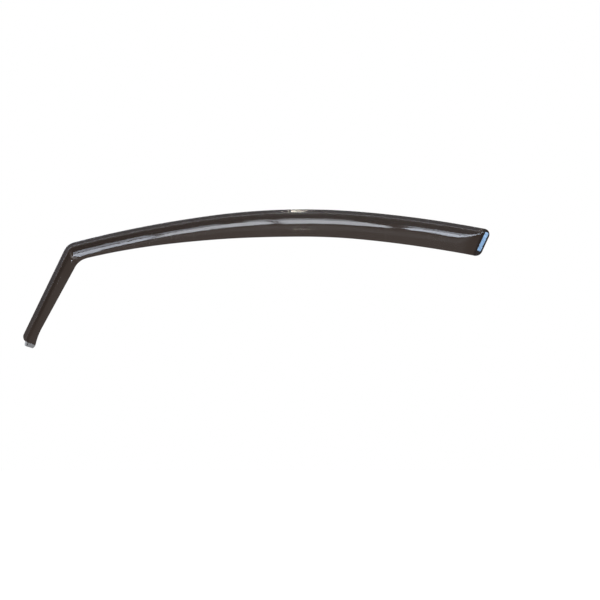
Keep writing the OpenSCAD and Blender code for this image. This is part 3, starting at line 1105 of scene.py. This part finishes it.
class DEFLECTOR_OT_stage(bpy.types.Operator):
    """Build the camera, the lamps, the floor and the white surround"""

    bl_idname = "deflector.stage"
    bl_label = "Stage"
    bl_options = {"REGISTER", "UNDO"}

    def execute(self, context):
        scene = context.scene
        stage = scene.deflector.stage
        self.make_camera(scene, stage)
        self.make_world(scene, stage)
        self.make_floor(stage)
        self.make_lamps(stage)
        scene.view_settings.view_transform = "Standard"
        return {"FINISHED"}

    def make_camera(self, scene, stage):
        data = bpy.data.cameras.new("camera")
        data.lens = stage.lens
        camera = add_object("camera", data)
        distance = stage.frame_width / data.sensor_width * stage.lens
        camera.location = (VIEW_CENTRE[0], -distance, VIEW_CENTRE[1])
        camera.rotation_euler = (math.pi / 2, 0, 0)
        data.clip_start, data.clip_end = CLIP
        scene.camera = camera

    def make_world(self, scene, stage):
        """White for the camera, even light for the faces and a dim room for gloss."""
        world = bpy.data.worlds.new("surround")
        world.use_nodes = True
        sky = Nodes(world.node_tree)

        def background(brightness, tint):
            inputs = {"Color": (*tint, 1), "Strength": brightness}
            return sky.node("ShaderNodeBackground", inputs).outputs["Background"]

        def pick(factor, low, high):
            inputs = {"Fac": factor, 1: low, 2: high}
            return sky.node("ShaderNodeMixShader", inputs).outputs["Shader"]

        generated = sky.node("ShaderNodeTexCoord").outputs["Generated"]
        way = sky.node("ShaderNodeSeparateXYZ", {"Vector": generated}).outputs

        def facing(axis, start, end):
            """0 to 1 for directions from start to end along an axis."""
            return sky.ramp(way[axis], start, end, interpolation_type="SMOOTHSTEP")

        white = background(1, WHITE)
        room = background(stage.surround, ROOM_TINT)
        band = background(stage.surround + ROOM_BAND, ROOM_TINT)
        dark = background(ROOM_DARK, ROOM_TINT)
        # The band above the horizon, the dark sides and the white backdrop behind the part
        below = pick(facing("Z", 0.0, 0.07), room, band)
        bright = pick(facing("Z", 0.12, 0.22), below, room)
        ahead = pick(facing("X", 0.05, -0.45), bright, dark)
        behind = pick(facing("X", 0.35, 0.7), ahead, dark)
        glossy = pick(facing("Y", 0.2, 0.6), behind, white)
        rays = sky.node("ShaderNodeLightPath").outputs
        lit = pick(rays["Is Glossy Ray"], background(stage.ambient, WHITE), glossy)
        sky.node("ShaderNodeOutputWorld", {"Surface": pick(sky.seen(), lit, white)})
        scene.world = world

    def make_floor(self, stage):
        bm = bmesh.new()
        bmesh.ops.create_grid(bm, x_segments=1, y_segments=1, size=FLOOR_HALF)
        bmesh.ops.translate(bm, vec=(0, FLOOR_BACK, stage.floor), verts=bm.verts[:])
        finish = Finish("pale_floor")
        fine = finish.noise(scale=3.0, detail=3.0)
        # The floor shows white to the camera, and keeps the part's shadow
        finish.set(
            Base_Color=finish.blend(fine, shaded(WHITE, 0.84), shaded(WHITE, 0.88)),
            Roughness=0.9,
            Specular_IOR_Level=0.1,
            Emission_Color=(*WHITE, 1),
            Emission_Strength=finish.math("MULTIPLY", finish.seen(), FLOOR_GLOW),
        )
        add_mesh(bm, "floor", finish.material)

    def make_lamps(self, stage):
        for number, (start, end, low, high, part, tint) in enumerate(LONG_LAMPS):
            x = (start + end) / 2
            middle = (math.radians(low) + math.radians(high)) / 2
            out, up = DRUM_RADIUS * math.cos(middle), DRUM_RADIUS * math.sin(middle)
            soft_lamp(
                "long_lamp_%d" % (number + 1),
                place=(x, -out, up + DRUM_Z),
                aim=(x, 0, DRUM_Z),
                width=end - start,
                height=DRUM_RADIUS * math.radians(high - low),
                brightness=stage.lamp * part,
                roll=SHORT_LAMP_TURN if end - start < SHORT_LAMP else 0,
                tint=tint,
            )
        # A small warm lamp beside the camera glints on the flat edge at the top of the arch
        soft_lamp("glint", *GLINT, width=0.1, height=0.09, brightness=46, tint=WARM)
        side, back = stage.lamp * 0.8, stage.lamp * 0.3
        soft_lamp("side_lamp", *SIDE, width=0.8, height=1.4, brightness=side, tint=COOL)
        soft_lamp("back_lamp", *BACK, width=1.4, height=0.8, brightness=back)


class DEFLECTOR_PT_sidebar(bpy.types.Panel):
    """Lists the pieces of the deflector and their sizes"""

    bl_idname = "DEFLECTOR_PT_sidebar"
    bl_label = "Window rain deflector"
    bl_space_type = "VIEW_3D"
    bl_region_type = "UI"
    bl_category = "Deflector"

    def draw(self, context):
        sizes = context.scene.deflector
        rows = (
            (DEFLECTOR_OT_moulding, (sizes.arch, sizes.leg, sizes.section, sizes.finishes)),
            (DEFLECTOR_OT_tape, (sizes.strip,)),
            (DEFLECTOR_OT_liner, ()),
            (DEFLECTOR_OT_stage, (sizes.stage,)),
        )
        for operator, groups in rows:
            box = self.layout.box()
            box.operator(operator.bl_idname)
            for group in groups:
                for name in group.bl_rna.properties.keys():
                    if name not in ("rna_type", "name"):
                        box.prop(group, name)


class DeflectorSizes(bpy.types.PropertyGroup):
    """All sizes and colours of the deflector."""

    arch: group(ArchSizes, "Arch")
    leg: group(LegSizes, "Leg")
    section: group(SectionSizes, "Section")
    strip: group(StripSizes, "Strip")
    finishes: group(Finishes, "Finishes")
    stage: group(StageSizes, "Stage")


CLASSES = (
    ArchSizes,
    LegSizes,
    SectionSizes,
    StripSizes,
    Finishes,
    StageSizes,
    DeflectorSizes,
    DEFLECTOR_OT_moulding,
    DEFLECTOR_OT_tape,
    DEFLECTOR_OT_liner,
    DEFLECTOR_OT_stage,
    DEFLECTOR_PT_sidebar,
)


def register():
    for cls in CLASSES:
        bpy.utils.register_class(cls)
    bpy.types.Scene.deflector = group(DeflectorSizes, "Deflector")


def unregister():
    del bpy.types.Scene.deflector
    for cls in reversed(CLASSES):
        bpy.utils.unregister_class(cls)


def main():
    register()
    bpy.ops.deflector.stage()
    bpy.ops.deflector.moulding()
    bpy.ops.deflector.tape()
    bpy.ops.deflector.liner()


if __name__ == "__main__":
    main()
